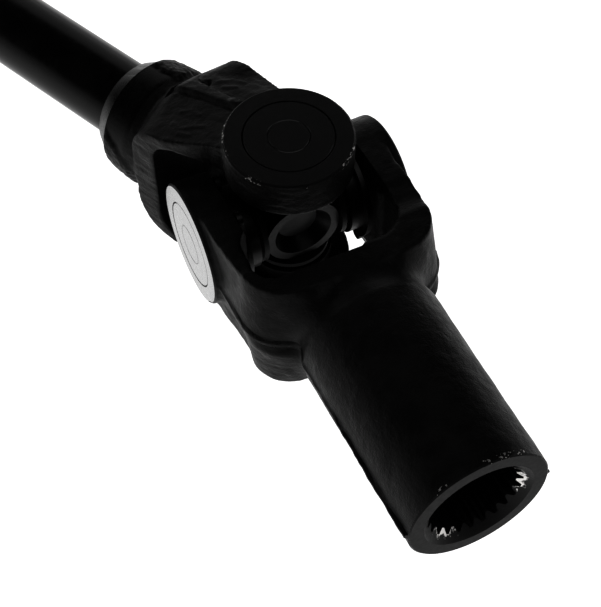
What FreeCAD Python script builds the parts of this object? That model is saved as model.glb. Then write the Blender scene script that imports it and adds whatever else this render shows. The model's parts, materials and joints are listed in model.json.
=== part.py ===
import FreeCAD, Part
import math
import os
from FreeCAD import Placement, Rotation, Vector

# Universal joint shaft: a forged yoke with a serrated socket, a needle-bearing cross,
# and a second forged yoke on a round shaft.  Millimetres, +Z up.
# Origin: centre of the mouth of the serrated socket.  The socket's axis is the Y axis and
# the cross centre lies on it at +Y.  The first pivot is parallel to X, the second is square
# to it.  The joint is drawn bent: SHAFT_BEND about the second pivot, CROSS_TILT about the first.

# ---- joint ----
CENTRE_TO_MOUTH = 95.3
CROSS_TILT = 3.8
SHAFT_BEND = 24.7

# ---- bearing kit, along each arm of the cross, measured from the cross centre ----
CUP_R = 11.0
CUP_BORE_R = 9.6
CUP_FACE = 27.35
CUP_OPEN_END = 12.5
CUP_FLOOR = 2.5
CUP_EDGE = 0.5
CUP_RING_R = 5.15
CUP_RING_WIDTH = 0.36
CUP_RING_DEPTH = 0.2
NEEDLE_D = 2.4
NEEDLE_COUNT = 21
NEEDLE_START = 13.2
NEEDLE_LENGTH = 10.0
RUNNING_GAP = 0.02
CLIP_SEAT_GAP = 0.02
WASHER_R = 8.6
WASHER_T = 1.0
CLIP_T = 1.3
CLIP_R = 13.3
CLIP_GROOVE_R = 10.2
CLIP_OPENING = 62.0
CLIP_TAB_R = 1.9
SEAL_R = 10.3
SEAL_LIP_R = 9.3
SEAL_START = 10.1
SEAL_T = 1.3
SEAL_LIP_T = 0.8

# ---- cross ----
JOURNAL_CHAMFER = 0.8
SHOULDER_R = 8.1
SHOULDER_END = 12.2
HUB_RING_R = 10.0
HUB_RING_HALF = 8.4
DISH_MOUTH_R = 7.75
DISH_FLOOR_R = 5.3
DISH_DEPTH = 3.6

# ---- both yokes ----
BOSS_R = 15.9
BOSS_CHAMFER = 0.6
HUB_OVERLAP = 4.0
EDGE_TOLERANCE = 0.01
THROUGH_ALL = 110.0
EAR_INNER = 17.0
POCKET_START = 17.5
CROTCH = 31.2
EAR_END = 15.0
WAIST_HALF = 12.6
WAIST_AT = 14.0
WAIST_LEAN = 50.0
NECK_AT = 20.5
NECK_HALF = 14.7
BASE_AT = 27.0

# ---- splined yoke ----
SP_POCKET_HALF = 17.8
SP_CROTCH_CORNER_R = 8.5
SP_ARM_OUT = 25.9
SP_BASE_END = 39.6
SP_BASE_HALF = 16.0
SP_CORNER_R = 11.0
SP_DRAFT = 1.5
SP_ARM_LEAN = 0.4
SP_END_DRAFT = 2.4
SP_NECK_R = 15.2
SP_NECK_END = 40.0
SP_HUB_R = 17.8
SP_HUB_START = 45.5
SP_MOUTH_R = 17.05
SP_FLARE_R = 7.0
SP_FLARE_HALF = 14.5
SP_FLARE_OUT = 19.0
SOCKET_TIP_R = 10.7
SOCKET_ROOT_R = 11.75
SOCKET_TEETH = 23
SOCKET_TIP_SHARE = 0.22
SOCKET_ROOT_SHARE = 0.26
SOCKET_MOUTH_R = 13.0
SOCKET_MOUTH_DEPTH = 1.3
SOCKET_CHAMFER = 0.5
SOCKET_END = CROTCH - 1.0

# ---- shaft yoke ----
SH_POCKET_HALF = 17.3
SH_CROTCH_CORNER_R = 7.7
SH_ARM_OUT = 26.8
SH_SLOPE_START = 9.5
SH_SHOULDER = 19.4
SH_BASE_END = 39.4
SH_BASE_HALF = 16.3
SH_CORNER_R = 3.5
SH_FLANK_CORNER_R = 12.0
SH_DRAFT = 1.6
SH_END_DRAFT = 0.6
SH_NECK_R = 16.0
SH_COLLAR_R = 16.2
SH_COLLAR_END = 50.8
SH_COLLAR_END_R = 15.4
SH_BEVEL_END = 55.0
SH_BEVEL_R = 12.9
SH_FLARE_R = 3.0
SH_FLARE_HALF = 14.5
SH_FLARE_OUT = 16.0
SHAFT_R = 10.65
SHAFT_SPIGOT_R = 10.0
SHAFT_SEAT = 34.5
SHAFT_END = 232.0
SHAFT_CHAMFER = 1.5
SHAFT_SHOULDER_CHAMFER = 0.5

X = Vector(1, 0, 0)
Y = Vector(0, 1, 0)
Z = Vector(0, 0, 1)
ORIGIN = Vector(0, 0, 0)
CENTRE = Vector(0, CENTRE_TO_MOUTH, 0)


def line(a, b):
    return Part.LineSegment(a, b).toShape()


def arc(a, m, b):
    return Part.Arc(a, m, b).toShape()


def prism(edges, along):
    face = Part.Face(Part.Wire(edges))
    face.translate(along * -0.5)
    return face.extrude(along)


def polygon(points):
    closed = list(points) + [points[0]]
    return [line(a, b) for a, b in zip(closed, closed[1:])]


def revolved(points, axis):
    face = Part.Face(Part.Wire(polygon(points)))
    return face.revolve(ORIGIN, axis, 360)


def tube(r_out, r_in, z0, z1):
    outer = Part.makeCylinder(r_out, z1 - z0, Z * z0)
    inner = Part.makeCylinder(r_in, z1 - z0, Z * z0)
    return outer.cut(inner)


def corner(centre, radius, a0, a1):
    # quarter round in the XY plane, from angle a0 to a1 in degrees
    mid = (a0 + a1) / 2.0
    pts = []
    for angle in (a0, mid, a1):
        t = math.radians(angle)
        pts.append(centre + Vector(math.cos(t), math.sin(t), 0) * radius)
    return arc(*pts)


# ---------------------------------------------------------------- yokes
# Each yoke is drawn with its pivot along X, its axis along +Y and the cross centre at 0.

def window(pocket, r):
    """The U-shaped gap between the ears, through the whole thickness, with corner radius r."""
    top = -BOSS_R * 2.0
    right = [
        line(Vector(EAR_INNER, top, 0), Vector(EAR_INNER, EAR_END, 0)),
        line(Vector(EAR_INNER, EAR_END, 0), Vector(pocket, POCKET_START, 0)),
        line(Vector(pocket, POCKET_START, 0), Vector(pocket, CROTCH - r, 0)),
        corner(Vector(pocket - r, CROTCH - r, 0), r, 0, 90),
    ]
    floor = [line(Vector(pocket - r, CROTCH, 0), Vector(r - pocket, CROTCH, 0))]
    left = [
        corner(Vector(r - pocket, CROTCH - r, 0), r, 90, 180),
        line(Vector(-pocket, CROTCH - r, 0), Vector(-pocket, POCKET_START, 0)),
        line(Vector(-pocket, POCKET_START, 0), Vector(-EAR_INNER, EAR_END, 0)),
        line(Vector(-EAR_INNER, EAR_END, 0), Vector(-EAR_INNER, top, 0)),
    ]
    close = [line(Vector(-EAR_INNER, top, 0), Vector(EAR_INNER, top, 0))]
    return prism(right + floor + left + close, Z * THROUGH_ALL)


def side_outline(base_half, base_end):
    """Outline seen along the pivot: round ear, narrow waist, wide base."""
    lean = math.radians(WAIST_LEAN)
    ear = Vector(0, BOSS_R * math.cos(lean), BOSS_R * math.sin(lean))
    waist = Vector(0, WAIST_AT, WAIST_HALF)
    neck_point = Vector(0, NECK_AT, NECK_HALF)
    base = Vector(0, BASE_AT, base_half)
    end = Vector(0, base_end, base_half)

    def flip(v):
        return Vector(0, v.y, -v.z)

    edges = [
        arc(flip(ear), Vector(0, -BOSS_R, 0), ear),
        line(ear, waist),
        arc(waist, neck_point, base),
        line(base, end),
        line(end, flip(end)),
        line(flip(end), flip(base)),
        arc(flip(base), flip(neck_point), flip(waist)),
        line(flip(waist), flip(ear)),
    ]
    return prism(edges, X * THROUGH_ALL)


def u_wire(arm_out, slope_start, shoulder, end, r, z):
    """Outline seen square to the U, at height z: arms, rounded outer corners, flat back."""
    slope = math.atan2(arm_out - shoulder, end - slope_start)
    c = Vector(shoulder - r + r * math.tan(slope / 2.0), end - r, z)
    start = Vector(arm_out, -BOSS_R, z)
    bend = Vector(arm_out, slope_start, z)
    touch = c + Vector(math.cos(slope), math.sin(slope), 0) * r

    def flip(v):
        return Vector(-v.x, v.y, v.z)

    degrees = math.degrees(slope)
    return Part.Wire([
        line(start, bend),
        line(bend, touch),
        corner(c, r, degrees, 90),
        line(c + Y * r, flip(c) + Y * r),
        corner(flip(c), r, 90, 180 - degrees),
        line(flip(touch), flip(bend)),
        line(flip(bend), flip(start)),
        line(flip(start), start),
    ])


def drafted_u(arm_out, slope_start, shoulder, end, r_middle, r_flank, draft, end_draft, half):
    """Forged blank: the outer faces lean in from the middle parting plane to both flanks."""
    middle = u_wire(arm_out, slope_start, shoulder, end, r_middle, 0.0)
    out = []
    for z in (half, -half):
        flank = u_wire(arm_out - draft, slope_start, shoulder - draft, end - end_draft, r_flank, z)
        out.append(Part.makeLoft([middle, flank], True, True))
    return out[0].fuse(out[1])


def bosses():
    """Round ear bosses with a broken outer edge and a bored hole for the cup."""
    out = []
    for sign in (1, -1):
        body = Part.makeCylinder(BOSS_R, CUP_FACE - EAR_INNER, X * (EAR_INNER * sign), X * sign)
        rims = [e for e in body.Edges if abs(e.BoundBox.XMin - CUP_FACE * sign) < EDGE_TOLERANCE
                and e.BoundBox.XLength < EDGE_TOLERANCE]
        out.append(body.makeChamfer(BOSS_CHAMFER, rims))
    return out


def cup_bore():
    return Part.makeCylinder(CUP_R, THROUGH_ALL, X * (-THROUGH_ALL / 2.0), X)


def neck(points, flare_r, r0, top, at, flank, half_out):
    """Turned hub or collar, with a hollow flare up to the fork's back face."""
    body = revolved(points, Y)
    centre = Vector(r0 + flare_r, at + flare_r, 0)
    mid = centre + Vector(-math.sqrt(0.5), -math.sqrt(0.5), 0) * flare_r
    a = Vector(r0, at + flare_r, 0)
    b = Vector(r0 + flare_r, at, 0)
    edges = [
        arc(a, mid, b),
        line(b, Vector(b.x, top, 0)),
        line(Vector(b.x, top, 0), Vector(0, top, 0)),
        line(Vector(0, top, 0), Vector(0, a.y, 0)),
        line(Vector(0, a.y, 0), a),
    ]
    flare = Part.Face(Part.Wire(edges)).revolve(ORIGIN, Y, 360)
    box = Part.makeBox(half_out * 2.0, a.y * 2.0, flank * 2.0, Vector(-half_out, 0, -flank))
    return body.fuse(flare.common(box))


def fork(blank, side):
    body = blank.common(side)
    for boss in bosses():
        body = body.fuse(boss)
    return body


def serration():
    """The socket's toothed hole as a solid to cut away."""
    pitch = 2.0 * math.pi / SOCKET_TEETH
    tip = pitch * SOCKET_TIP_SHARE / 2.0
    root = pitch * SOCKET_ROOT_SHARE / 2.0
    points = []
    for i in range(SOCKET_TEETH):
        base = i * pitch
        for angle, radius in (
            (base - tip, SOCKET_TIP_R),
            (base + tip, SOCKET_TIP_R),
            (base + pitch / 2.0 - root, SOCKET_ROOT_R),
            (base + pitch / 2.0 + root, SOCKET_ROOT_R),
        ):
            points.append(Vector(radius * math.sin(angle), 0, radius * math.cos(angle)))
    length = CENTRE_TO_MOUTH - SOCKET_END
    face = Part.Face(Part.Wire(polygon(points)))
    hole = face.extrude(Y * length)
    hole.translate(Y * SOCKET_END)
    return hole


def socket_mouth():
    end = CENTRE_TO_MOUTH
    wide = SOCKET_MOUTH_R + SOCKET_CHAMFER
    pts = [
        Vector(0, end - SOCKET_MOUTH_DEPTH, 0),
        Vector(SOCKET_MOUTH_R, end - SOCKET_MOUTH_DEPTH, 0),
        Vector(SOCKET_MOUTH_R, end - SOCKET_CHAMFER, 0),
        Vector(wide, end, 0),
        Vector(0, end, 0),
    ]
    return revolved(pts, Y)


def splined_yoke():
    blank = drafted_u(SP_ARM_OUT, EAR_END, SP_ARM_OUT - SP_ARM_LEAN, SP_BASE_END, SP_CORNER_R, SP_CORNER_R,
                      SP_DRAFT, SP_END_DRAFT, SP_BASE_HALF + 1.0)
    body = fork(blank, side_outline(SP_BASE_HALF, SP_BASE_END + 1.0))
    start = SP_BASE_END - HUB_OVERLAP
    hub = [
        Vector(0, start, 0),
        Vector(SP_NECK_R, start, 0),
        Vector(SP_NECK_R, SP_NECK_END, 0),
        Vector(SP_HUB_R, SP_HUB_START, 0),
        Vector(SP_MOUTH_R, CENTRE_TO_MOUTH, 0),
        Vector(0, CENTRE_TO_MOUTH, 0),
    ]
    body = body.fuse(neck(hub, SP_FLARE_R, SP_NECK_R, start, SP_BASE_END - SP_END_DRAFT, SP_FLARE_HALF,
                          SP_FLARE_OUT))
    body = body.cut(window(SP_POCKET_HALF, SP_CROTCH_CORNER_R))
    body = body.cut(cup_bore())
    body = body.cut(serration())
    body = body.cut(socket_mouth())
    return body.removeSplitter()


def shaft_yoke():
    blank = drafted_u(SH_ARM_OUT, SH_SLOPE_START, SH_SHOULDER, SH_BASE_END, SH_CORNER_R, SH_FLANK_CORNER_R,
                      SH_DRAFT, SH_END_DRAFT, SH_BASE_HALF + 1.0)
    body = fork(blank, side_outline(SH_BASE_HALF, SH_BASE_END + 1.0))
    start = SH_BASE_END - HUB_OVERLAP
    collar = [
        Vector(0, start, 0),
        Vector(SH_NECK_R, start, 0),
        Vector(SH_COLLAR_R, SH_BASE_END + HUB_OVERLAP, 0),
        Vector(SH_COLLAR_END_R, SH_COLLAR_END, 0),
        Vector(SH_BEVEL_R, SH_BEVEL_END, 0),
        Vector(0, SH_BEVEL_END, 0),
    ]
    body = body.fuse(neck(collar, SH_FLARE_R, SH_NECK_R, start, SH_BASE_END - SH_DRAFT, SH_FLARE_HALF,
                          SH_FLARE_OUT))
    body = body.cut(window(SH_POCKET_HALF, SH_CROTCH_CORNER_R))
    body = body.cut(cup_bore())
    seat = Part.makeCylinder(SHAFT_SPIGOT_R, SH_BEVEL_END - SHAFT_SEAT, Y * SHAFT_SEAT, Y)
    return body.cut(seat).removeSplitter()


def shaft():
    """Round bar with a turned spigot that seats in the yoke, its shoulder against the yoke's end."""
    pts = [
        Vector(0, SHAFT_SEAT, 0),
        Vector(SHAFT_SPIGOT_R, SHAFT_SEAT, 0),
        Vector(SHAFT_SPIGOT_R, SH_BEVEL_END, 0),
        Vector(SHAFT_R - SHAFT_SHOULDER_CHAMFER, SH_BEVEL_END, 0),
        Vector(SHAFT_R, SH_BEVEL_END + SHAFT_SHOULDER_CHAMFER, 0),
        Vector(SHAFT_R, SHAFT_END - SHAFT_CHAMFER, 0),
        Vector(SHAFT_R - SHAFT_CHAMFER, SHAFT_END, 0),
        Vector(0, SHAFT_END, 0),
    ]
    return revolved(pts, Y)


# ---------------------------------------------------------------- bearing kit
# Each piece is drawn on an arm along +Z, with the cross centre at 0.

def journal_radius():
    return CUP_BORE_R - NEEDLE_D - 2.0 * RUNNING_GAP


def clip_start():
    return EAR_INNER - CLIP_T


def cup():
    floor = CUP_FACE - CUP_FLOOR
    pts = [
        Vector(CUP_BORE_R, 0, CUP_OPEN_END),
        Vector(CUP_R - CUP_EDGE, 0, CUP_OPEN_END),
        Vector(CUP_R, 0, CUP_OPEN_END + CUP_EDGE),
        Vector(CUP_R, 0, clip_start()),
        Vector(CLIP_GROOVE_R, 0, clip_start()),
        Vector(CLIP_GROOVE_R, 0, EAR_INNER),
        Vector(CUP_R, 0, EAR_INNER),
        Vector(CUP_R, 0, CUP_FACE - CUP_EDGE / 2.0),
        Vector(CUP_R - CUP_EDGE / 2.0, 0, CUP_FACE),
        Vector(0, 0, CUP_FACE),
        Vector(0, 0, floor),
        Vector(CUP_BORE_R, 0, floor),
    ]
    body = revolved(pts, Z)
    groove = tube(CUP_RING_R + CUP_RING_WIDTH / 2.0, CUP_RING_R - CUP_RING_WIDTH / 2.0,
                  CUP_FACE - CUP_RING_DEPTH, CUP_FACE)
    return body.cut(groove)


def needles():
    ring = CUP_BORE_R - RUNNING_GAP - NEEDLE_D / 2.0
    rollers = []
    for i in range(NEEDLE_COUNT):
        t = 2.0 * math.pi * i / NEEDLE_COUNT
        foot = Vector(ring * math.cos(t), ring * math.sin(t), NEEDLE_START)
        rollers.append(Part.makeCylinder(NEEDLE_D / 2.0, NEEDLE_LENGTH, foot, Z))
    return Part.makeCompound(rollers)


def washer():
    top = CUP_FACE - CUP_FLOOR
    return Part.makeCylinder(WASHER_R, WASHER_T, Z * (top - WASHER_T), Z)


def clip():
    z0 = clip_start()
    ring = tube(CLIP_R, CLIP_GROOVE_R, z0, EAR_INNER)
    half = math.radians(CLIP_OPENING / 2.0)
    reach = CLIP_R * 2.0
    wedge = [
        Vector(0, 0, z0),
        Vector(reach * math.cos(half), -reach * math.sin(half), z0),
        Vector(reach * math.cos(half), reach * math.sin(half), z0),
    ]
    gap = Part.Face(Part.Wire(polygon(wedge))).extrude(Z * CLIP_T)
    body = ring.cut(gap)
    mean = (CLIP_R + CUP_R) / 2.0 + 0.4
    for sign in (1, -1):
        t = sign * (half + CLIP_SEAT_GAP)
        foot = Vector(mean * math.cos(t), mean * math.sin(t), z0)
        body = body.fuse(Part.makeCylinder(CLIP_TAB_R, CLIP_T, foot, Z))
    body = body.cut(Part.makeCylinder(CUP_R + CLIP_SEAT_GAP, CLIP_T, Z * z0, Z).cut(ring.cut(gap)))
    return body.removeSplitter()


def seal():
    top = SEAL_START + SEAL_T
    pts = [
        Vector(SHOULDER_R, 0, SEAL_START),
        Vector(SEAL_R, 0, SEAL_START),
        Vector(SEAL_R, 0, top),
        Vector(SEAL_LIP_R, 0, top + SEAL_LIP_T),
        Vector(SHOULDER_R, 0, top + SEAL_LIP_T),
    ]
    return revolved(pts, Z)


def trunnion():
    end = CUP_FACE - CUP_FLOOR - WASHER_T - RUNNING_GAP
    r = journal_radius()
    pts = [
        Vector(0, 0, 0),
        Vector(SHOULDER_R, 0, 0),
        Vector(SHOULDER_R, 0, SHOULDER_END),
        Vector(r, 0, SHOULDER_END + JOURNAL_CHAMFER),
        Vector(r, 0, end - JOURNAL_CHAMFER),
        Vector(r - JOURNAL_CHAMFER, 0, end),
        Vector(0, 0, end),
    ]
    return revolved(pts, Z)


def dish(sign):
    low = HUB_RING_HALF - DISH_DEPTH
    pts = [
        Vector(0, low * sign, 0),
        Vector(DISH_FLOOR_R, low * sign, 0),
        Vector(DISH_MOUTH_R, HUB_RING_HALF * sign, 0),
        Vector(0, HUB_RING_HALF * sign, 0),
    ]
    return revolved(pts, Y)


def arm_directions():
    return [Z, Z * -1.0, X, X * -1.0]


def cross():
    """Four journals and a round middle with a dished face each way, drawn with its pivots on X and Z."""
    body = Part.makeCylinder(HUB_RING_R, HUB_RING_HALF * 2.0, Y * -HUB_RING_HALF, Y)
    for direction in arm_directions():
        body = body.fuse(turned_to(trunnion(), direction))
    for sign in (1, -1):
        body = body.cut(dish(sign))
    return body.removeSplitter()


# ---------------------------------------------------------------- placing

def turned_to(shape, direction):
    out = shape.copy()
    out.Placement = Placement(ORIGIN, Rotation(Z, direction)).multiply(out.Placement)
    return out


def tilted(shape):
    """From the cross's own frame to the drawn pose."""
    out = shape.copy()
    out.Placement = Placement(CENTRE, Rotation(X, CROSS_TILT)).multiply(out.Placement)
    return out


def on_socket_side(shape):
    """From a yoke's own frame to the splined yoke's place: its axis runs to -Y."""
    out = shape.copy()
    out.Placement = Placement(CENTRE, Rotation(Z, 180)).multiply(out.Placement)
    return out


def on_shaft_side(shape):
    """From a yoke's own frame to the shaft yoke's place: pivot on the cross's Z arm, then the bend."""
    stand = Placement(ORIGIN, Rotation(Y, 90))
    bend = Placement(ORIGIN, Rotation(Z, SHAFT_BEND))
    out = shape.copy()
    out.Placement = bend.multiply(stand).multiply(out.Placement)
    return tilted(out)


def bend_only(shape):
    out = shape.copy()
    out.Placement = Placement(ORIGIN, Rotation(Z, SHAFT_BEND)).multiply(out.Placement)
    return out


def kit(name, side):
    """One arm's bearing pieces: side is left, right, upper or lower."""
    makers = {"cup": cup, "needles": needles, "thrust_washer": washer, "snap_ring": clip}
    shape = makers[name]()
    if side == "right":
        return on_place(shape, X)
    if side == "left":
        return on_place(shape, X * -1.0)
    direction = Z if side == "upper" else Z * -1.0
    return tilted(bend_only(turned_to(shape, direction)))


def on_place(shape, direction):
    out = turned_to(shape, direction)
    out.Placement = Placement(CENTRE, Rotation()).multiply(out.Placement)
    return out


def seals():
    names = {"upper": Z, "lower": Z * -1.0, "right": X, "left": X * -1.0}
    return {"seal_" + side: tilted(turned_to(seal(), d)) for side, d in names.items()}


def model():
    nodes = {
        "splined_yoke": on_socket_side(splined_yoke()),
        "cross": tilted(cross()),
        "shaft_yoke": on_shaft_side(shaft_yoke()),
        "shaft": on_shaft_side(shaft()),
    }
    for name in ("cup", "needles", "thrust_washer", "snap_ring"):
        for side in ("left", "right", "upper", "lower"):
            nodes[name + "_" + side] = kit(name, side)
    nodes.update(seals())
    return nodes


os.makedirs("parts", exist_ok=True)
for node, shape in model().items():
    if not shape.isValid():
        raise ValueError(node + " is not a valid shape")
    if len(shape.Solids) != (NEEDLE_COUNT if node.startswith("needles") else 1):
        raise ValueError(node + " has %d solids" % len(shape.Solids))
    shape.exportStep("parts/" + node + ".step")
    print(node, round(shape.Volume), "mm3", len(shape.Faces), "faces")
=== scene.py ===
import json
import math

import bmesh
import bpy
import numpy as np
from mathutils import Matrix, Vector, noise


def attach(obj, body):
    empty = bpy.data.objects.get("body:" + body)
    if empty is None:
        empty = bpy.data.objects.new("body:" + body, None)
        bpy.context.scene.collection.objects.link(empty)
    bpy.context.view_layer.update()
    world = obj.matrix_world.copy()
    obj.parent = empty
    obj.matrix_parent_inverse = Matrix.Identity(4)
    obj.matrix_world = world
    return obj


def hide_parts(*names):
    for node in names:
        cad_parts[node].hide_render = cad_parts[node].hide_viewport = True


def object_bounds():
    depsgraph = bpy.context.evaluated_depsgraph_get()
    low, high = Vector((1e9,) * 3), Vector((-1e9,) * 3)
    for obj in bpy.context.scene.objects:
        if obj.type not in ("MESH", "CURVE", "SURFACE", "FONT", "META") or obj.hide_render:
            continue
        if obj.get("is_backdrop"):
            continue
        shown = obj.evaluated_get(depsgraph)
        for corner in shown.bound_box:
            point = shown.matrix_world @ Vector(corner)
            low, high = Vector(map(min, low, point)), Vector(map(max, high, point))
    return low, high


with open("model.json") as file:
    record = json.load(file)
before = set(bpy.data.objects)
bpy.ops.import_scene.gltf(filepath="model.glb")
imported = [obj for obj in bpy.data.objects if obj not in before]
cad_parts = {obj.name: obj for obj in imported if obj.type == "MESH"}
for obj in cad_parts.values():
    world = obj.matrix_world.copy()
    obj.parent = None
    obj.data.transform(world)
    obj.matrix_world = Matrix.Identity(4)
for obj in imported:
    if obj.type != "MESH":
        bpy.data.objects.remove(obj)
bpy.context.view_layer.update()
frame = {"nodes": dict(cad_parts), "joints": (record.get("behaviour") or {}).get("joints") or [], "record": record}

# Looks for the universal joint shaft.  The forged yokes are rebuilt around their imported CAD
# solids: rounded, with forged skin, parting flash and crisp machined cuts.  The cups are turned
# anew, and the other nodes only get their materials.  Millimetres inside the makers, metres in
# the scene.

MM = 0.001

# ---- sizes shared with the CAD, in mm ----
CUP_R = 11.0
BOSS_R = 15.9
CUP_FACE = 27.35
EAR_INNER = 17.0
HUB_END = 95.3
MOUTH_R = 17.05
SOCKET_TIP_R = 10.7
SOCKET_ROOT_R = 11.75
SOCKET_TEETH = 23
SOCKET_TIP_SHARE = 0.22
SOCKET_ROOT_SHARE = 0.26
SOCKET_START = 30.2
PILOT_R = 13.0
COLLAR_END = 50.8
COLLAR_END_R = 15.4
BEVEL_END = 55.0
BEVEL_R = 12.9
SPIGOT_R = 10.0
SEAT_START = 33.5            # where the shaft's spigot starts in the shaft yoke
CUP_BORE_R = 9.6
CUP_OPEN_END = 12.5
CUP_FLOOR = 24.85

# ---- sizes used only for the looks, in mm ----
FORGING_VOXEL = 0.5          # splined yoke
REAR_FORGING_VOXEL = 0.4     # shaft yoke, whose arm has the finer marks
FILLET_ROUNDS = 420          # how long the hollow between arms and hub is filled
ROUNDING_ROUNDS = 16         # how far the forgings' edges are rounded
EAR_PAD_Z = 11.0             # half height of the flat pads inside the ears
BOSS_STOCK = 1.2             # metal on the boss faces for the machining cuts to take off
BORE_LEAD = 0.42             # depth of the cup bores' lead-in
BORE_FLARE = 0.32            # how much wider the lead-in is at the face
CONE_DEPTH = 2.95            # cone that leads into the teeth
MOUTH_STEP = 0.6             # the hub's end face stands this far beyond the forging's rim
SPLINED_HUB_START = 41.0     # end of the arms, start of the round hub
COLLAR_START = 42.0          # the same on the shaft yoke
CUP_SUNK = 0.03              # the cups' faces lie this far under the boss faces
ON_FACE = 0.02               # closer than this to a plane counts as on it
BEYOND = 60.0                # cutters reach this far, past every surface
FINE_TURN = 192              # steps round the turned surfaces that show
SHARP_EDGE = 22.0            # degrees; steeper creases are shaded as edges

FLOOR_DROP = 0.145           # metres of room under the part at rest, for the shaft to swing down
FLOOR_HALF = 4.0             # metres
PAINT_IOR = 1.2              # low, so that the black paint stays as dark as in the photo

joints = {j["name"]: j for j in frame["joints"]}
mounts = {m["name"]: m for m in frame["record"]["mounts"]}
CENTRE = Vector(joints["first_pivot"]["pos_m"]) / MM


def local_frame(pivot, axis):
    """A yoke's own frame in mm: origin at the cross, pivot along X, +Y along its axis, away."""
    side = pivot.cross(axis)
    rot = Matrix((pivot, axis, side)).transposed().to_4x4()
    return Matrix.Translation(CENTRE) @ rot


SPLINED = local_frame(Vector((-1, 0, 0)), Vector((0, -1, 0)))
SHAFT_PIVOT = -Vector(joints["second_pivot"]["axis"]).normalized()
SHAFT_AXIS = Vector(mounts["shaft_end"]["axis"]).normalized()
SHAFTED = local_frame(SHAFT_PIVOT, SHAFT_AXIS)


# ------------------------------------------------------------------ mesh helpers

def new_object(name, data):
    obj = bpy.data.objects.new(name, data)
    bpy.context.scene.collection.objects.link(obj)
    return obj


def node_in_mm(name, local):
    """A bmesh copy of a CAD node, merged into one closed skin, in a yoke's own frame."""
    bm = bmesh.new()
    bm.from_mesh(frame["nodes"][name].data)
    bmesh.ops.remove_doubles(bm, verts=bm.verts, dist=2e-6)
    bm.transform(local.inverted() @ Matrix.Scale(1 / MM, 4))
    return bm


def turned(profile, axis, steps=128):
    """Closed solid of revolution from (radius, along) points that start and end on the axis."""
    bm = bmesh.new()
    rings = []
    for radius, along in profile:
        if radius == 0:
            p = [along, 0, 0] if axis == "X" else [0, along, 0]
            rings.append([bm.verts.new(p)])
            continue
        ring = []
        for i in range(steps):
            a = 2 * math.pi * i / steps
            u, v = radius * math.cos(a), radius * math.sin(a)
            ring.append(bm.verts.new([along, u, v] if axis == "X" else [u, along, v]))
        rings.append(ring)
    for a, b in zip(rings, rings[1:]):
        for i in range(steps):
            j = (i + 1) % steps
            corners = [a[i % len(a)], a[j % len(a)], b[j % len(b)], b[i % len(b)]]
            unique = list(dict.fromkeys(corners))
            if len(unique) > 2:
                bm.faces.new(unique)
    bmesh.ops.recalc_face_normals(bm, faces=bm.faces)
    return bm


def mesh_from(bm, name):
    """The bmesh as a mesh; the bmesh is freed."""
    mesh = bpy.data.meshes.new(name)
    bm.to_mesh(mesh)
    bm.free()
    return mesh


def add_to(bm, other):
    """Adds the other bmesh's faces to bm; the other is freed."""
    mesh = mesh_from(other, "part")
    bm.from_mesh(mesh)
    bpy.data.meshes.remove(mesh)


def modified(mesh, **settings):
    """The mesh after one modifier; kind names its type."""
    obj = new_object("work", mesh)
    mod = obj.modifiers.new("m", settings.pop("kind"))
    for key, value in settings.items():
        setattr(mod, key, value)
    dg = bpy.context.evaluated_depsgraph_get()
    out = bpy.data.meshes.new_from_object(obj.evaluated_get(dg))
    bpy.data.objects.remove(obj)
    return out


def voxelled(bm, size):
    """The solid's skin as an even grid of faces, with what overlaps joined."""
    return modified(mesh_from(bm, "voxel"), kind="REMESH", mode="VOXEL", voxel_size=size,
                    adaptivity=0.0)


def points_of(mesh):
    co = np.empty(len(mesh.vertices) * 3, np.float32)
    mesh.vertices.foreach_get("co", co)
    return co.reshape(-1, 3).astype(float)


def normals_of(mesh):
    n = np.empty(len(mesh.vertices) * 3, np.float32)
    mesh.vertex_normals.foreach_get("vector", n)
    return n.reshape(-1, 3).astype(float)


def set_points(mesh, co):
    mesh.vertices.foreach_set("co", co.astype(np.float32).ravel())
    mesh.update()


def edge_ends(mesh):
    edges = np.empty(len(mesh.edges) * 2, np.int32)
    mesh.edges.foreach_get("vertices", edges)
    return edges.reshape(-1, 2).T


def averager(a, b, size):
    """A function that gives every point's mean neighbour along the edges from a to b."""
    count = np.maximum(np.bincount(a, minlength=size) + np.bincount(b, minlength=size), 1)

    def mean_of(co):
        mean = np.empty_like(co)
        for k in range(3):
            total = np.bincount(a, co[b, k], size) + np.bincount(b, co[a, k], size)
            mean[:, k] = total / count
        return mean

    return mean_of


def relaxed(mesh, rounds, weight, share=0.5, back=0.92):
    """Rounds every edge by averaging with the neighbours; the step back keeps the size."""
    co = points_of(mesh)
    a, b = edge_ends(mesh)
    mean_of = averager(a, b, len(co))
    w = (share * weight(co))[:, None]
    for i in range(2 * rounds):
        co += (w if i % 2 == 0 else -back * w) * (mean_of(co) - co)
    set_points(mesh, co)


def filled(mesh, rounds, weight, share=0.8, fresh_normals=8):
    """Fills hollow corners only, like a fillet: points move out along their normals, never in."""
    co = points_of(mesh)
    a, b = edge_ends(mesh)
    w = share * weight(co)
    near = (w[a] > 0) | (w[b] > 0)
    mean_of = averager(a[near], b[near], len(co))
    for i in range(rounds):
        if i % fresh_normals == 0:
            set_points(mesh, co)
            nrm = normals_of(mesh)
        pull = mean_of(co) - co
        rise = sum(pull[:, k] * nrm[:, k] for k in range(3))
        co += (w * np.maximum(rise, 0))[:, None] * nrm
    set_points(mesh, co)


def cut(mesh, cutters):
    """The mesh less every cutter; their faces stay crisp."""
    for bm in cutters:
        tool = new_object("tool", mesh_from(bm, "tool"))
        mesh = modified(mesh, kind="BOOLEAN", operation="DIFFERENCE", solver="MANIFOLD",
                        object=tool)
        bpy.data.objects.remove(tool)
    return mesh


def smoothstep(lo, hi, x):
    """0 at lo, 1 at hi, smooth between and flat beyond; lo may be the larger."""
    t = np.clip((x - lo) / (hi - lo), 0, 1)
    return t * t * (3 - 2 * t)


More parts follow.
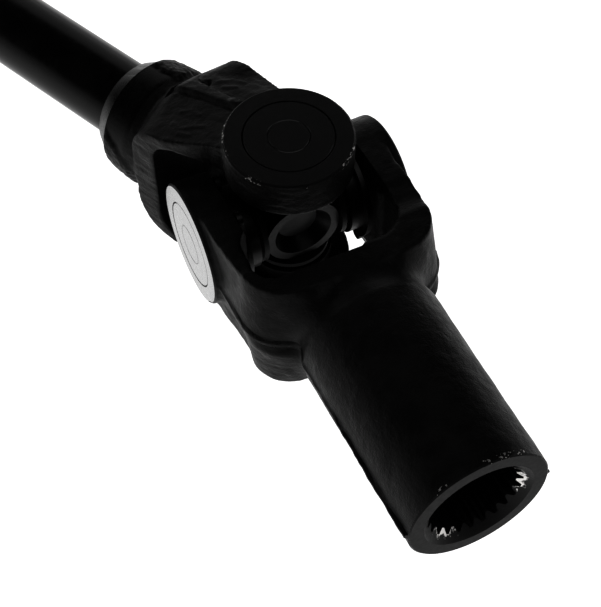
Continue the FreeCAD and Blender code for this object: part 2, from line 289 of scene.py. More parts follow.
def bell(x, centre, half):
    """1 at the centre, 0 from half away."""
    return smoothstep(half, 0, np.abs(x - centre))


def off_line(u, v, points):
    """Distance of each (u, v) to a broken line through points."""
    best = np.full(len(u), 1e9)
    for (u0, v0), (u1, v1) in zip(points, points[1:]):
        du, dv = u1 - u0, v1 - v0
        t = np.clip(((u - u0) * du + (v - v0) * dv) / (du * du + dv * dv), 0, 1)
        best = np.minimum(best, np.hypot(u - u0 - t * du, v - v0 - t * dv))
    return best


def fractal(co, size, octaves=2, offset=0.0):
    """Perlin noise at each point, about -1 to 1; size is the wavelength in mm."""
    shift = Vector((offset, offset * 1.7, offset * 0.6))
    return np.array([noise.fractal(Vector(p) / size + shift, 1.0, 2.1, octaves) for p in co])


# ------------------------------------------------------------------ machining

def cup_bore():
    """Both cup holes in one cut, each with a small lead-in at the face."""
    lead, wide = CUP_FACE - BORE_LEAD, CUP_R + BORE_FLARE
    profile = [(0, -BEYOND), (wide, -BEYOND), (wide, -CUP_FACE), (CUP_R, -lead),
               (CUP_R, lead), (wide, CUP_FACE), (wide, BEYOND), (0, BEYOND)]
    return turned(profile, "X", FINE_TURN)


def prism(outline, low, high):
    """A solid with the given x, y outline between two z levels."""
    bm = bmesh.new()
    rings = [[bm.verts.new((x, y, z)) for x, y in outline] for z in (low, high)]
    bm.faces.new(rings[0])
    bm.faces.new(rings[1])
    n = len(outline)
    for i in range(n):
        j = (i + 1) % n
        bm.faces.new([rings[0][i], rings[0][j], rings[1][j], rings[1][i]])
    bmesh.ops.recalc_face_normals(bm, faces=bm.faces)
    return bm


def side_pocket():
    """The window's deeper left pocket, with a tight corner, cut through both flanks."""
    half, floor, r, steps = 21.1, 31.25, 4.8, 8
    inside, through = 12.0, 30
    outline = [(inside, 12.0), (EAR_INNER, 12.9), (20.4, 17.6), (half, floor - r)]
    for i in range(1, steps + 1):
        t = math.pi / 2 * i / steps
        outline.append((half - r + r * math.cos(t), floor - r + r * math.sin(t)))
    outline.append((inside, floor))
    return prism(outline, -through, through)


def ear_chamfer(side, face):
    """Sets one ear's inner edge back beyond its round inner pad."""
    inside, top, high, start, end = 12, 18.5, 20.0, -22.0, 14.5
    outline = [(inside, EAR_PAD_Z), (EAR_INNER, EAR_PAD_Z), (top, 16.2), (top, high),
               (inside, high)]
    bm = prism([(a * side, b * face) for a, b in outline], start, end)
    swap_y_z = Matrix(((1, 0, 0, 0), (0, 0, 1, 0), (0, 1, 0, 0), (0, 0, 0, 1)))
    bm.transform(swap_y_z)
    bmesh.ops.recalc_face_normals(bm, faces=bm.faces)
    return bm


def boss_face(sign):
    """Takes the boss down to its machined face, with a broken edge."""
    edge, out, wide = CUP_FACE - 0.55, CUP_FACE + 4.0, BOSS_R + 0.7
    profile = [(0, CUP_FACE), (BOSS_R - 0.45, CUP_FACE), (BOSS_R + 0.1, edge), (wide, edge),
               (wide, out), (0, out)]
    return turned([(r, x * sign) for r, x in profile], "X", 160)


def pivot_cuts():
    return [cup_bore(), boss_face(1), boss_face(-1)]


def serrated_hole():
    """The toothed bore, from its inner end out through the hub's end face."""
    pitch = 2 * math.pi / SOCKET_TEETH
    tip, root = pitch * SOCKET_TIP_SHARE / 2, pitch * SOCKET_ROOT_SHARE / 2
    points = []
    for i in range(SOCKET_TEETH):
        base = i * pitch
        points.append((base - tip, SOCKET_TIP_R))
        points.append((base + tip, SOCKET_TIP_R))
        points.append((base + pitch / 2 - root, SOCKET_ROOT_R))
        points.append((base + pitch / 2 + root, SOCKET_ROOT_R))
    bm = bmesh.new()
    ends = []
    for y in (SOCKET_START, HUB_END + 0.5):
        ring = [bm.verts.new((-r * math.sin(a), y, r * math.cos(a))) for a, r in points]
        ends.append(ring)
        bm.faces.new(ring)
    n = len(points)
    for i in range(n):
        j = (i + 1) % n
        bm.faces.new([ends[0][i], ends[0][j], ends[1][j], ends[1][i]])
    bmesh.ops.recalc_face_normals(bm, faces=bm.faces)
    return bm


def hub_end():
    """Faces the hub's end and cuts the cone that leads into the teeth."""
    end, deep, step, wide = HUB_END, HUB_END - CONE_DEPTH, HUB_END - MOUTH_STEP, MOUTH_R + 4
    profile = [
        (0, deep), (PILOT_R - 2.7, deep), (PILOT_R - 0.1, end - 0.35), (PILOT_R + 0.35, end),
        (MOUTH_R - 0.35, end), (MOUTH_R + 0.3, step), (wide, step), (wide, end + 4), (0, end + 4),
    ]
    return turned(profile, "Y", FINE_TURN)


def collar_bevel():
    wide, out = COLLAR_END_R + 6, BEVEL_END + 4
    profile = [(0, BEVEL_END), (BEVEL_R, BEVEL_END), (COLLAR_END_R, COLLAR_END),
               (wide, COLLAR_END - 5), (wide, out), (0, out)]
    return turned(profile, "Y", FINE_TURN)


def shaft_seat():
    out = BEVEL_END + 15
    return turned([(0, SEAT_START), (SPIGOT_R, SEAT_START), (SPIGOT_R, out), (0, out)], "Y")


# ------------------------------------------------------------------ forged yokes

def forged_skin(co):
    """Uneven forged surface in mm: slow waves, dents and scale."""
    return (0.11 * fractal(co, 11.0, 2, 3.1) + 0.06 * fractal(co, 4.0, 2, 9.4)
            + 0.035 * fractal(co, 1.7, 2, 5.7))


def blank_of(node, local, fill, blocks=()):
    """The forging before machining: holes filled, faces left long."""
    bm = node_in_mm(node, local)
    for profile, axis in fill:
        add_to(bm, turned(profile, axis))
    for outline, half in blocks:
        add_to(bm, prism(outline, -half, half))
    return bm


def boss_stock():
    """Plugs for the cup holes and extra metal on both boss faces."""
    out = []
    start, plug, disc, top = 18.0, CUP_R + 1, CUP_FACE - 3, CUP_FACE + BOSS_STOCK
    for s in (1, -1):
        for profile in ([(0, start), (plug, start), (plug, CUP_FACE), (BOSS_R, CUP_FACE),
                         (BOSS_R, top), (0, top)],
                        [(0, disc), (BOSS_R, disc), (BOSS_R, top), (0, top)]):
            out.append(([(r, x * s) for r, x in profile], "X"))
    return out


def off_boss_faces(co):
    """0 on the boss faces, which stay flat for the machining, 1 elsewhere."""
    on_face = smoothstep(CUP_FACE - 2.5, CUP_FACE - 1.0, np.abs(co[:, 0])) \
        * smoothstep(BOSS_R + 1, BOSS_R, np.hypot(co[:, 1], co[:, 2]))
    return 1 - on_face


def beyond_boss(y, z):
    """1 on the skin outside the round bosses, 0 on them."""
    return smoothstep(BOSS_R - 0.2, BOSS_R + 0.8, np.hypot(y, z))


# Height of the splined yoke's parting ridge on either side: places along the axis, then heights.
FLASH_RIGHT = ([16, 22, 30, 36, SPLINED_HUB_START, 50, 88, HUB_END],
               [0.6, 1.1, 0.8, 0.3, 0.3, 0.3, 0.45, 0.9])
FLASH_LEFT = ([16, 17, 20, 36, SPLINED_HUB_START, 50, 65, 88, HUB_END],
              [0.5, 0.5, 0.5, 0.6, 0.5, 0.35, 0.7, 0.95, 0.8])


def splined_blank():
    """The splined yoke's forging in one skin: outline blocks, window pocket, no machining."""
    stock = boss_stock()
    plug, deep, top = PILOT_R + 1, SOCKET_START + 4, HUB_END + 1.2
    stock.append(([(0, deep), (plug, deep), (plug, HUB_END - 2), (MOUTH_R, HUB_END - 1.5),
                   (MOUTH_R, top), (0, top)], "Y"))
    ear = EAR_INNER
    left_arm = [(ear, 0), (26.2, 0), (25.8, 13.8), (24.8, 22), (24.2, 27), (20, 27), (ear, 13)]
    right_arm = [(-ear, 0), (-24.8, 0), (-24.5, 10.4), (-24.9, 17), (-24.4, 27), (-18.3, 27),
                 (-18.1, 13), (-ear, 12)]
    right_pad = [(-ear, 11.5), (-ear, 13), (-18.2, 19), (-20, 19), (-20, 11.5)]
    right_corner = [(-18.2, 19), (-18.4, 22.9), (-16.2, 27), (-12, 30), (-5.3, 30.5),
                    (-5.3, 33), (-22, 33), (-22, 19)]
    blocks = [(left_arm, 15.8), (right_arm, 15.8), (right_pad, 12.5), (right_corner, 15.5)]
    rough_out = voxelled(blank_of("splined_yoke", SPLINED, stock, blocks), FORGING_VOXEL)
    shape_splined_flanks(rough_out)
    rough_out = cut(rough_out, [side_pocket()])
    bm = bmesh.new()
    bm.from_mesh(rough_out)
    return voxelled(bm, FORGING_VOXEL)


def splined_yoke_mesh():
    """Rounds the blank, raises its parting flash and skin, then machines it."""
    mesh = splined_blank()

    def hollow(co):
        return bell(co[:, 1], 42.5, 9.0) * smoothstep(0.5, 4.0, np.abs(co[:, 2]))

    def soft(co):
        window = smoothstep(20.2, 18.8, np.abs(co[:, 0])) * smoothstep(33.0, 32.0, co[:, 1])
        return off_boss_faces(co) * (1 - 0.6 * window)

    filled(mesh, FILLET_ROUNDS, hollow)
    relaxed(mesh, ROUNDING_ROUNDS, soft)
    co, nrm = points_of(mesh), normals_of(mesh)
    x, y, z = co.T
    outer = smoothstep(0.35, 0.75, np.hypot(nrm[:, 0], np.maximum(nrm[:, 1], 0)))
    outside = np.clip(smoothstep(18.3, 20.5, np.abs(x)) + smoothstep(35, 38, y), 0, 1)
    hub = smoothstep(38, 44, y)
    wobble = 0.22 * fractal(np.c_[x, y, x * 0], 3.0, 2, 1.3)
    high = np.where(x < 0, np.interp(y, *FLASH_RIGHT), np.interp(y, *FLASH_LEFT))
    high = high + wobble * (0.4 + 0.6 * smoothstep(45, 60, y))
    width = np.where(y < SPLINED_HUB_START, 0.75, 0.6)
    level = z + 0.25 * fractal(np.c_[x * 0, y, x], 6.0, 1, 2.2)
    ridge = high * smoothstep(width + 0.3, width - 0.3, np.abs(level))
    ripple = 0.09 * fractal(np.c_[x / 5, y / 5, z], 1.3, 2, 7.7)
    ripple = ripple * smoothstep(-1, -3, z) * (1 - hub)
    crease = 0.2 * fractal(np.c_[x / 4, y, z / 4], 1.5, 2, 6.1)
    crease = crease * bell(y, 20.5, 5.5) * smoothstep(-17.0, -18.0, x)
    move = (ridge + ripple) * outer * outside * beyond_boss(y, z)
    move += crease * smoothstep(0.6, 0.9, nrm[:, 2])
    machined = smoothstep(EAR_INNER + 1.0, EAR_INNER - 0.2, np.abs(x)) * smoothstep(31, 30, y)
    move += forged_skin(co) * (1 - machined)
    set_points(mesh, co + nrm * move[:, None])
    chamfers = [ear_chamfer(side, face) for side in (1, -1) for face in (1, -1)]
    return cut(mesh, pivot_cuts() + [serrated_hole(), hub_end()] + chamfers)


def shape_splined_flanks(mesh):
    """Right arm dished above and below, lower half drafted, lower lobe drawn to the hub."""
    co, nrm = points_of(mesh), normals_of(mesh)
    x, y, z = co.T
    flank = smoothstep(0.4, 0.8, np.abs(nrm[:, 2])) * smoothstep(16.5, 18.0, np.abs(x))
    flank *= smoothstep(10.5, 11.5, np.abs(z))
    dish = 1.1 * bell(y, 22.0, 5.5) * (x < 0)
    co[:, 2] -= np.sign(z) * flank * dish
    draft = 1.3 * smoothstep(-0.5, -12, z) * smoothstep(5, 11, y) * smoothstep(30, 24, y)
    co[:, 0] -= np.sign(x) * draft * smoothstep(20.5, 23.0, np.abs(x))
    lower = smoothstep(-0.8, -3.5, z)
    side = smoothstep(15.5, 18.5, np.hypot(x, z)) * smoothstep(43.5, 41.0, y)
    co[:, 1] += 2.0 * lower * side * smoothstep(22, 34, y)
    co[:, 2] -= 0.9 * lower * smoothstep(-8, -15, z) * side * smoothstep(18, 27, y)
    set_points(mesh, co)


# Raised wandering marks on the shaft yoke's arm: points along its axis and across the arm, in mm.
WORM_MARKS = (
    ((28.5, -10.5), (25.5, -11.2), (22.5, -9.2), (20.4, -8.2)),
    ((29.2, -6.6), (27.0, -5.2), (24.0, -5.6)),
    ((24.5, -12.5), (21.5, -12.0)),
    ((29.5, 7.0), (26.5, 9.2), (23.0, 10.0)),
    ((26.5, 6.0), (23.5, 7.4)),
)


def shaft_yoke_mesh():
    """Rounds the blank, raises the land, its marks and the skin, then machines it."""
    stock = boss_stock()
    plug, deep, out = SPIGOT_R + 1, SEAT_START - 0.5, BEVEL_END + 1
    stock.append(([(0, deep), (plug, deep), (plug, BEVEL_END - 2),
                   (COLLAR_END_R, COLLAR_END - 0.5), (COLLAR_END_R, out), (0, out)], "Y"))
    mesh = voxelled(blank_of("shaft_yoke", SHAFTED, stock), REAR_FORGING_VOXEL)
    shape_shaft_yoke(mesh)
    relaxed(mesh, ROUNDING_ROUNDS, off_boss_faces)
    co, nrm = points_of(mesh), normals_of(mesh)
    x, y, z = co.T
    out = smoothstep(0.3, 0.7, np.abs(nrm[:, 0])) * smoothstep(17.6, 18.6, np.abs(x))
    out = out * beyond_boss(y, z)
    drift = 0.22 * fractal(np.c_[x * 0, y, x], 5.0, 2, 4.4)
    near = np.interp(y, [18.4, 29.8, 40.7], [-0.6, -1.0, -2.2]) + drift
    far = np.interp(y, [18.4, 21, 30.3, 34.8], [2.3, 2.5, 3.4, 5.4]) + drift
    land = 0.8 * smoothstep(near, near + 1.4, z) * smoothstep(far + 0.4, far, z)
    land = land * smoothstep(39, 36, y)
    groove = -0.35 * smoothstep(0.8, 0.1, np.abs(z - near)) * smoothstep(41, 39, y)
    low_far = -0.45 * smoothstep(far, far + 0.5, z) * smoothstep(far + 5, far + 1, z)
    pit = -1.1 * smoothstep(1.7, 0.5, np.hypot(y - 31.7, 0.8 * (z - 5.0)))
    tab = 0.5 * smoothstep(2.0, 0.6, np.hypot(0.7 * (y - 18.0), z - 1.7))
    worms = np.zeros(len(x))
    for line in WORM_MARKS:
        worms += 0.16 * smoothstep(1.0, 0.1, off_line(y, z + drift, line))
    scale_marks = 0.09 * fractal(np.c_[x, y / 2.2, z], 1.6, 3, 5.2)
    top = (land + groove + low_far + pit + tab + worms + scale_marks) * out * (x < 0)
    seam = 0.35 * smoothstep(1.6, 0.9, np.abs(z - 1.0)) * out * (x > 0)
    flank = smoothstep(-0.6, -0.9, nrm[:, 2]) * (y < COLLAR_START)
    ripple = 0.12 * fractal(np.c_[x, y / 5, z / 5], 1.3, 2, 8.2) * flank
    as_forged = rough_collar(co)
    rough = 0.2 * fractal(co, 1.3, 3, 2.9) * as_forged
    smooth_part = smoothstep(41.5, 43.0, y) * (1 - as_forged)
    move = top + seam + ripple + rough + forged_skin(co) * (1 - smooth_part)
    set_points(mesh, co + nrm * move[:, None])
    return cut(mesh, pivot_cuts() + [collar_bevel(), shaft_seat()])


def rough_collar(co):
    """How far each point lies in the collar's as-forged part, beyond the dressed patch."""
    x, y, z = co.T
    angle = np.degrees(np.arctan2(z, -x))
    jag = 0.5 * fractal(np.c_[x * 0, y, x * 0], 1.6, 2, 3.3)
    upper = smoothstep(4.0, 4.6, z + jag) * (angle > 0)
    limit = np.interp(y, [41.0, 51.0], [-90, -64]) + 6 * jag
    lower = smoothstep(limit + 2, limit - 8, angle) + (angle > 100)
    return np.clip(upper + lower, 0, 1) * smoothstep(37.5, 39.5, y)


def shape_shaft_yoke(mesh):
    """Forging differences from the plain blank: far corner, back slope, as-forged collar."""
    co, nrm = points_of(mesh), normals_of(mesh)
    x, y, z = co.T
    outer = smoothstep(0.3, 0.7, np.abs(nrm[:, 0])) * smoothstep(17.0, 18.5, np.abs(x))
    corner = 1.5 * smoothstep(8.5, 15.0, z) * bell(y, 29.5, 8.0)
    edge = np.interp(z, [-18, -6, -1.5, 5.5, 10], [39, 37.5, 35.0, 34.0, 38])
    slope = 1.7 * smoothstep(edge, edge + 3.5, y) * smoothstep(-9, -3, z) * smoothstep(10, 6, z)
    co[:, 0] -= outer * (x < 0) * (corner - slope)
    low = smoothstep(6, 17, x) * smoothstep(-9, -15, z) * bell(y, 34, 9)
    co[:, 0] += 1.2 * low
    co[:, 1] += 0.8 * low * (y < COLLAR_START)
    radius = np.maximum(np.hypot(x, z), 1e-6)
    barrel = smoothstep(12.5, 14, radius) * rough_collar(co) * smoothstep(51.5, 50.0, y)
    barrel = barrel * smoothstep(39.5, COLLAR_START, y)
    swell = (0.7 + 0.2 * smoothstep(3, 6, z)) * barrel
    co[:, 0] += x / radius * swell
    co[:, 2] += z / radius * swell
    set_points(mesh, co)


# ------------------------------------------------------------------ materials

class Graph:
    """Small helper to build a node tree."""

    def __init__(self, name):
        self.mat = bpy.data.materials.new(name)
        self.mat.use_nodes = True
        self.nt = self.mat.node_tree
        self.bsdf = self.nt.nodes["Principled BSDF"]

    def node(self, kind, inputs=None, **props):
        n = self.nt.nodes.new("ShaderNode" + kind)
        for k, v in props.items():
            setattr(n, k, v)
        for k, v in (inputs or {}).items():
            self.put(n, k, v)
        return n

    def put(self, node, key, value):
        socket = node.inputs[key]
        if isinstance(value, bpy.types.NodeSocket):
            self.nt.links.new(value, socket)
        else:
            socket.default_value = value

    def shade(self, **values):
        for k, v in values.items():
            self.put(self.bsdf, k.replace("_", " "), v)

    def coords(self):
        return self.node("TexCoord").outputs["Object"]

    def noise(self, vector, size, detail=3.0, rough=0.55, distortion=0.0):
        n = self.node("TexNoise", {"Vector": vector, "Scale": 1.0 / size, "Detail": detail,
                                   "Roughness": rough, "Distortion": distortion})
        return n.outputs["Fac"]

    def ramp(self, value, lo, hi, a=0.0, b=1.0):
        n = self.node("MapRange", {"Value": value, "From Min": lo, "From Max": hi,
                                   "To Min": a, "To Max": b})
        return n.outputs[0]

    def math(self, op, a, b=0.0):
        n = self.node("Math", operation=op)
        self.put(n, 0, a)
        self.put(n, 1, b)
        return n.outputs[0]

    def mix(self, fac, a, b):
        n = self.node("Mix", data_type="RGBA")
        self.put(n, 0, fac)
        self.put(n, 6, a)
        self.put(n, 7, b)
        return n.outputs[2]

    def bump(self, height, distance):
        n = self.node("Bump", {"Height": height, "Distance": distance, "Strength": 1.0})
        return n.outputs[0]

    def fixed(self, socket, value):
        """A plain value straight on one of the shader's sockets."""
        self.bsdf.inputs[socket].default_value = value


def grey(v, warm=0.0):
    """A grey of that brightness, slightly red for warm above 0."""
    return (v * (1 + warm), v, v * (1 - warm), 1)


def forged_paint(name):
    """Black paint over scaled forging; bare bright chips where the wear attribute says rim, partly chipped paint
    and partly a painted highlight on the rims' edges.
    """
    g = Graph(name)
    at = g.coords()
    slow = g.noise(at, 0.009, 3)
    mid = g.noise(at, 0.0017, 4, 0.62)
    grain = g.noise(at, 0.00045, 3, 0.6)
    worm = g.math("ABSOLUTE", g.math("SUBTRACT", g.noise(at, 0.0036, 1.5, 0.5, 0.9), 0.5))
    worm = g.math("MULTIPLY", g.ramp(worm, 0.03, 0.0), g.ramp(g.noise(at, 0.007, 2), 0.5, 0.6))
    swirl = g.node("TexNoise", {"Vector": at, "Scale": 900.0})
    shove = g.node("VectorMath", {0: swirl.outputs["Color"], 1: (0.0016,) * 3},
                   operation="MULTIPLY")
    jolted = g.node("VectorMath", {0: at, 1: shove.outputs[0]}, operation="ADD")
    cells = g.node("TexVoronoi", {"Vector": jolted.outputs[0], "Scale": 1 / 0.0026}, feature="F1")
    lot = g.node("SeparateXYZ", {"Vector": cells.outputs["Color"]})
    chosen = g.math("GREATER_THAN", lot.outputs[0], 0.86)
    pit = g.math("MULTIPLY", g.ramp(cells.outputs["Distance"], 0.3, 0.12), chosen)
    height = g.math("ADD", g.math("MULTIPLY", mid, 0.85), g.math("MULTIPLY", grain, 0.5))
    height = g.math("ADD", height, g.math("MULTIPLY", worm, 0.12))
    height = g.math("SUBTRACT", height, g.math("MULTIPLY", pit, 0.25))
    tone = g.mix(g.ramp(slow, 0.35, 0.65), grey(0.0022), grey(0.005, 0.02))
    wear_and_highlight = g.node("Attribute", attribute_name="wear_and_highlight").outputs["Fac"]
    # Bare grey chips: partly chipped paint, partly a painted highlight on the rims' edges.
    spots = g.math("GREATER_THAN", g.noise(at, 0.0007, 2, 0.5), 0.6)
    patches = g.math("GREATER_THAN", g.noise(at, 0.006, 1, 0.5), 0.48)
    worn_and_lit = g.math("GREATER_THAN", wear_and_highlight, 0.55)
    bare_and_highlit = g.math("MULTIPLY", g.math("MULTIPLY", spots, patches), worn_and_lit)
    g.shade(Base_Color=g.mix(bare_and_highlit, tone, grey(0.5, 0.02)), Metallic=bare_and_highlit,
            Roughness=g.ramp(g.noise(at, 0.004, 3), 0.3, 0.7, 0.33, 0.48),
            Normal=g.bump(height, 0.00018))
    g.fixed("IOR", PAINT_IOR)
    return g.mat


def machined_paint(name, ior, rough, base=0.002, grain=0.00002, coat=0.0):
    """Black paint over a cut or drawn surface; the coat adds a glossy reflection."""
    g = Graph(name)
    g.fixed("Coat Weight", coat)
    g.fixed("Coat IOR", 2.2)
    g.fixed("Coat Roughness", 0.16)
    g.fixed("IOR", ior)
    at = g.coords()
    lay = g.noise(at, 0.0012, 4, 0.65)
    slow = g.noise(at, 0.006, 3)
    tone = g.mix(g.ramp(slow, 0.35, 0.65), grey(base), grey(base * 1.8, 0.02))
    g.shade(Base_Color=tone, Roughness=g.ramp(lay, 0.3, 0.7, rough - 0.05, rough + 0.06),
            Normal=g.bump(lay, grain))
    return g.mat


def tooth_end_steel(name):
    """Cut tooth ends: bare bright steel to one side, overspray elsewhere, by the wear attribute; the bright steel
    is partly bare metal and partly a painted highlight where light falls into the mouth.
    """
    g = Graph(name)
    at = g.coords()
    bare_and_highlit = g.node("Attribute", attribute_name="wear_and_highlight").outputs["Fac"]
    ragged = g.math("SUBTRACT", g.noise(at, 0.0011, 4, 0.65), 0.5)
    patch = g.math("ADD", bare_and_highlit, g.math("MULTIPLY", ragged, 1.5))
    patch = g.ramp(patch, 0.42, 0.58)
    lay = g.noise(at, 0.0005, 3, 0.6)
    g.shade(Base_Color=g.mix(patch, grey(0.006), grey(0.75, 0.02)), Metallic=patch,
            Roughness=g.ramp(lay, 0.3, 0.7, 0.34, 0.5), Normal=g.bump(lay, 0.00004))
    g.fixed("IOR", 1.25)
    return g.mat


def plain_metal(name, value, rough):
    """Bare steel with a slightly uneven grey."""
    g = Graph(name)
    at = g.coords()
    lay = g.noise(at, 0.0008, 4, 0.6)
    tone = g.mix(g.ramp(lay, 0.35, 0.65), grey(value * 0.8), grey(value))
    g.shade(Base_Color=tone, Metallic=1.0, Normal=g.bump(lay, 0.00001),
            Roughness=g.ramp(lay, 0.3, 0.7, rough - 0.05, rough + 0.08))
    return g.mat


def soft_matter(name, colour, rough):
    """Plastic or rubber."""
    g = Graph(name)
    at = g.coords()
    lay = g.noise(at, 0.0007, 4, 0.6)
    dark = tuple(c * 0.7 for c in colour[:3]) + (1,)
    g.shade(Base_Color=g.mix(g.ramp(lay, 0.35, 0.65), dark, colour),
            Roughness=g.ramp(lay, 0.3, 0.7, rough - 0.06, rough + 0.06),
            Normal=g.bump(lay, 0.00003))
    g.fixed("IOR", 1.25)
    return g.mat


FORGED = forged_paint("forged_black_paint")
BOSS_FACE = machined_paint("machined_boss_black", 1.3, 0.3, coat=1.0)
CUP_SIDE = machined_paint("cup_side_black", 1.25, 0.35)
HUB_FACE = machined_paint("machined_end_black", 1.22, 0.5, base=0.003, grain=0.00003)
SHAFT_SKIN = machined_paint("drawn_shaft_black", 1.24, 0.2, grain=0.00001)
COLLAR_SKIN = machined_paint("turned_collar_black", 1.2, 0.28, grain=0.00002)
CROSS_SKIN = machined_paint("cross_black", 1.25, 0.34, base=0.003, grain=0.00006)
BORE = plain_metal("socket_bore_steel", 0.035, 0.45)
TOOTH_END = tooth_end_steel("socket_tooth_ends")
NEEDLE = plain_metal("needle_steel", 0.6, 0.2)
SPRING = plain_metal("spring_steel", 0.03, 0.4)
NYLON = soft_matter("washer_nylon", (0.45, 0.4, 0.28, 1), 0.5)
RUBBER = soft_matter("seal_rubber", (0.004, 0.004, 0.004, 1), 0.55)


# ------------------------------------------------------------------ pieces

def paint(mesh, choose, mats):
    """Gives each face the material whose place in mats choose says, from centres and normals."""
    mesh.materials.clear()
    for m in mats:
        mesh.materials.append(m)
    n = len(mesh.polygons)
    c, v = np.empty(n * 3, np.float32), np.empty(n * 3, np.float32)
    mesh.polygons.foreach_get("center", c)
    mesh.polygons.foreach_get("normal", v)
    index = choose(c.reshape(-1, 3), v.reshape(-1, 3)).astype(np.int32)
    mesh.polygons.foreach_set("material_index", index)


def finish_piece(name, mesh, local, body, node):
    """Puts the mesh in the scene at its place, riding its body instead of the CAD node."""
    mesh.transform(Matrix.Scale(MM, 4) @ local)
    mesh.polygons.foreach_set("use_smooth", [True] * len(mesh.polygons))
    mesh.set_sharp_from_angle(angle=math.radians(SHARP_EDGE))
    mesh.update()
    obj = new_object(name, mesh)
    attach(obj, body)
    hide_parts(node)


def add_wear_and_highlight(mesh, boss_chips_and_highlight):
    """Marks the skin close to the machined rims, where the paint chips, and the tooth ends; the marks are partly
    chipped paint and bare steel, partly painted highlight on the edges.
    """
    co = points_of(mesh)
    x, y, z = co.T
    rim = smoothstep(1.2, 0.7, np.abs(np.abs(x) - CUP_FACE + 0.2))
    rim *= smoothstep(0.9, 0.4, np.abs(np.hypot(y, z) - BOSS_R)) * boss_chips_and_highlight
    mouth = smoothstep(1.6, 0.9, np.abs(y - HUB_END))
    mouth *= smoothstep(0.9, 0.5, np.abs(np.hypot(x, z) - MOUTH_R))
    # Chips only on the upper side of the mouth's rim: partly chipped paint, partly a painted highlight where the
    # rim catches the light.
    mouth *= smoothstep(-0.1, 0.5, (0.8 * z - 0.6 * x) / MOUTH_R)
    mouth += tooth_end_wear_and_highlight(x, y, z)
    attribute = mesh.attributes.new("wear_and_highlight", "FLOAT", "POINT")
    attribute.data.foreach_set("value", np.clip(rim + mouth, 0, 1).astype(np.float32))


def tooth_end_wear_and_highlight(x, y, z):
    """Bare where a tool has rubbed, partly a painted highlight where light falls in: right and lower left of the
    mouth, least on the outer cone.
    """
    r = np.hypot(x, z)
    angle = np.degrees(np.arctan2(z, -x))
    right = bell(angle, 2, 42)
    low_left = 0.8 * bell(angle, -128, 38)
    inner = smoothstep(PILOT_R, SOCKET_ROOT_R - 0.2, r)
    return (right + low_left) * inner * (y > HUB_END - 3.2) * (y < HUB_END - ON_FACE)


def choose_splined(c, n):
    """0 forging, 1 boss faces, 2 hub end face, 3 socket bore, 4 tooth ends."""
    x, y, z = c.T
    r = np.hypot(x, z)
    out = np.zeros(len(c))
    out[np.abs(x) > CUP_FACE - ON_FACE] = 1
    out[(y > HUB_END - MOUTH_STEP) & (r < MOUTH_R - 0.3)] = 2
    out[(r < PILOT_R - 0.05) & (y > SOCKET_START + 1.8) & (y < HUB_END - 0.05)] = 3
    ends = (y > HUB_END - CONE_DEPTH - 0.05) & (y < HUB_END - 0.03)
    out[(r < PILOT_R + 0.4) & ends & (n[:, 1] > 0.3)] = 4
    return out


def choose_shaft(c, n):
    """0 forging, 1 boss faces, 2 turned part of the collar."""
    x, y, z = c.T
    r = np.hypot(x, z)
    out = np.zeros(len(c))
    out[np.abs(x) > CUP_FACE - ON_FACE] = 1
    dressed = (y > COLLAR_START + 0.5) & (rough_collar(c.astype(float)) < 0.5) & (r > 13)
    out[(y > COLLAR_END - 0.2) | dressed] = 2
    return out


splined = splined_yoke_mesh()
add_wear_and_highlight(splined, 0.0)
paint(splined, choose_splined, [FORGED, BOSS_FACE, HUB_FACE, BORE, TOOTH_END])
finish_piece("forged_splined_yoke", splined, SPLINED, "socket_side", "splined_yoke")

rear = shaft_yoke_mesh()
add_wear_and_highlight(rear, 1.0)
paint(rear, choose_shaft, [FORGED, BOSS_FACE, COLLAR_SKIN])
finish_piece("forged_shaft_yoke", rear, SHAFTED, "shaft_side", "shaft_yoke")


def cup_mesh(sign):
    """Pressed bearing cup: closed face with a ring groove, hollow towards the cross."""
    face, edge, outer = CUP_FACE - CUP_SUNK, 0.12, CUP_R - 0.01
    profile = [(0, face), (4.95, face), (5.13, face - 0.22), (5.3, face), (CUP_R - edge, face),
               (outer, face - edge), (outer, CUP_OPEN_END), (CUP_BORE_R, CUP_OPEN_END),
               (CUP_BORE_R, CUP_FLOOR), (0, CUP_FLOOR)]
    return mesh_from(turned([(r, x * sign) for r, x in profile], "X", FINE_TURN), "cup")


def choose_cup(c, n):
    """0 closed face, 1 sides."""
    return np.where(np.abs(c[:, 0]) > CUP_FACE - 0.6, 0, 1)


for name, sign, local, body in (("left", 1, SPLINED, "socket_side"),
                                ("right", -1, SPLINED, "socket_side"),
                                ("upper", -1, SHAFTED, "shaft_side"),
                                ("lower", 1, SHAFTED, "shaft_side")):
    cup = cup_mesh(sign)
    paint(cup, choose_cup, [BOSS_FACE, CUP_SIDE])
    finish_piece("bearing_cup_" + name, cup, local, body, "cup_" + name)

CAD_LOOKS = {"needles": NEEDLE, "thrust_washer": NYLON, "snap_ring": SPRING, "seal": RUBBER,
             "cross": CROSS_SKIN, "shaft": SHAFT_SKIN}
for name, obj in frame["nodes"].items():
    head, _, place = name.rpartition("_")
    stem = head if place in ("left", "right", "upper", "lower") else name
    if stem in CAD_LOOKS:
        for mat_slot in obj.material_slots:
            mat_slot.material = CAD_LOOKS[stem]


# ------------------------------------------------------------------ stage, light, camera

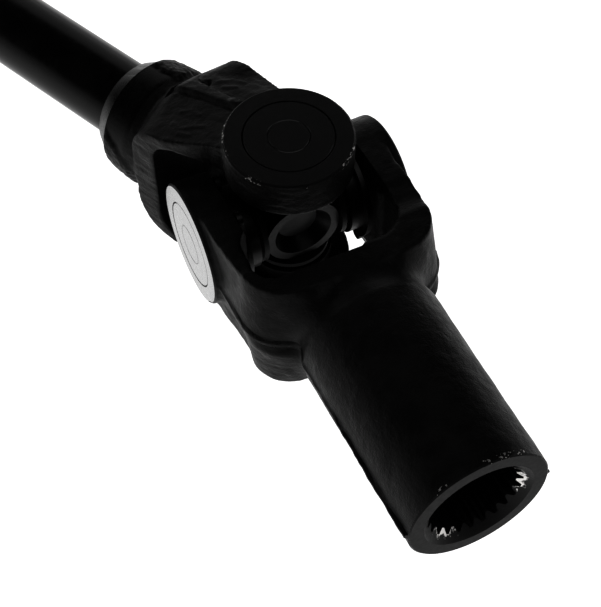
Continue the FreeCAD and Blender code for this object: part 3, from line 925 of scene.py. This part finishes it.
def floor_at(z):
    """A pale glowing plane, so that it stays white under a dark part."""
    mesh = bpy.data.meshes.new("floor")
    s = FLOOR_HALF
    mesh.from_pydata([(-s, -s, z), (s, -s, z), (s, s, z), (-s, s, z)], [], [(0, 1, 2, 3)])
    obj = new_object("floor", mesh)
    g = Graph("pale_floor")
    g.shade(Base_Color=grey(0.86), Roughness=0.9, Emission_Color=grey(1.0), Emission_Strength=0.95)
    g.fixed("Specular IOR Level", 0.1)
    mesh.materials.append(g.mat)
    obj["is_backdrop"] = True


def area_light(name, place, target, size, power):
    data = bpy.data.lights.new(name, "AREA")
    data.shape = "RECTANGLE"
    data.size, data.size_y = size
    data.energy = power
    obj = new_object(name, data)
    obj.location = place
    obj.rotation_euler = (Vector(target) - Vector(place)).to_track_quat("-Z", "Y").to_euler()
    return obj


def sky():
    """Pale near the horizon, dark overhead."""
    world = bpy.data.worlds.new("studio")
    bpy.context.scene.world = world
    world.use_nodes = True
    nt = world.node_tree
    bg = nt.nodes["Background"]
    coord = nt.nodes.new("ShaderNodeTexCoord")
    split = nt.nodes.new("ShaderNodeSeparateXYZ")
    ramp = nt.nodes.new("ShaderNodeMapRange")
    ramp.interpolation_type = "SMOOTHSTEP"
    nt.links.new(coord.outputs["Generated"], split.inputs[0])
    nt.links.new(split.outputs[2], ramp.inputs["Value"])
    for key, value in {"From Min": 0.0, "From Max": 0.3, "To Min": 0.8, "To Max": 0.02}.items():
        ramp.inputs[key].default_value = value
    nt.links.new(ramp.outputs[0], bg.inputs["Strength"])
    bg.inputs["Color"].default_value = (1, 1, 1, 1)


low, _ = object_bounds()
floor_at(low.z - FLOOR_DROP)
sky()
cross_at = CENTRE * MM
area_light("overhead", (0.0, -0.25, 1.3), cross_at, (1.3, 1.0), 4.6)
card_aim = cross_at + Vector((-0.04, 0.02, 0))
card = area_light("left_card", (-0.9, 0.15, 0.35), card_aim, (0.8, 0.5), 1.6)
card.visible_glossy = False
area_light("back_card", (0.1, 1.3, 0.55), cross_at, (1.8, 0.8), 3.0)

lens = bpy.data.cameras.new("camera")
lens.lens = 74.97
lens.sensor_width = 36
lens.clip_start = 0.01
camera = new_object("camera", lens)
camera.location = (-0.08516, -0.104325, 0.239026)
camera.rotation_euler = [math.radians(a) for a in (37.883, 1.393, -25.396)]
bpy.context.scene.camera = camera
bpy.context.scene.view_settings.view_transform = "Standard"
bpy.context.scene.view_settings.gamma = 0.78

low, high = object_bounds()
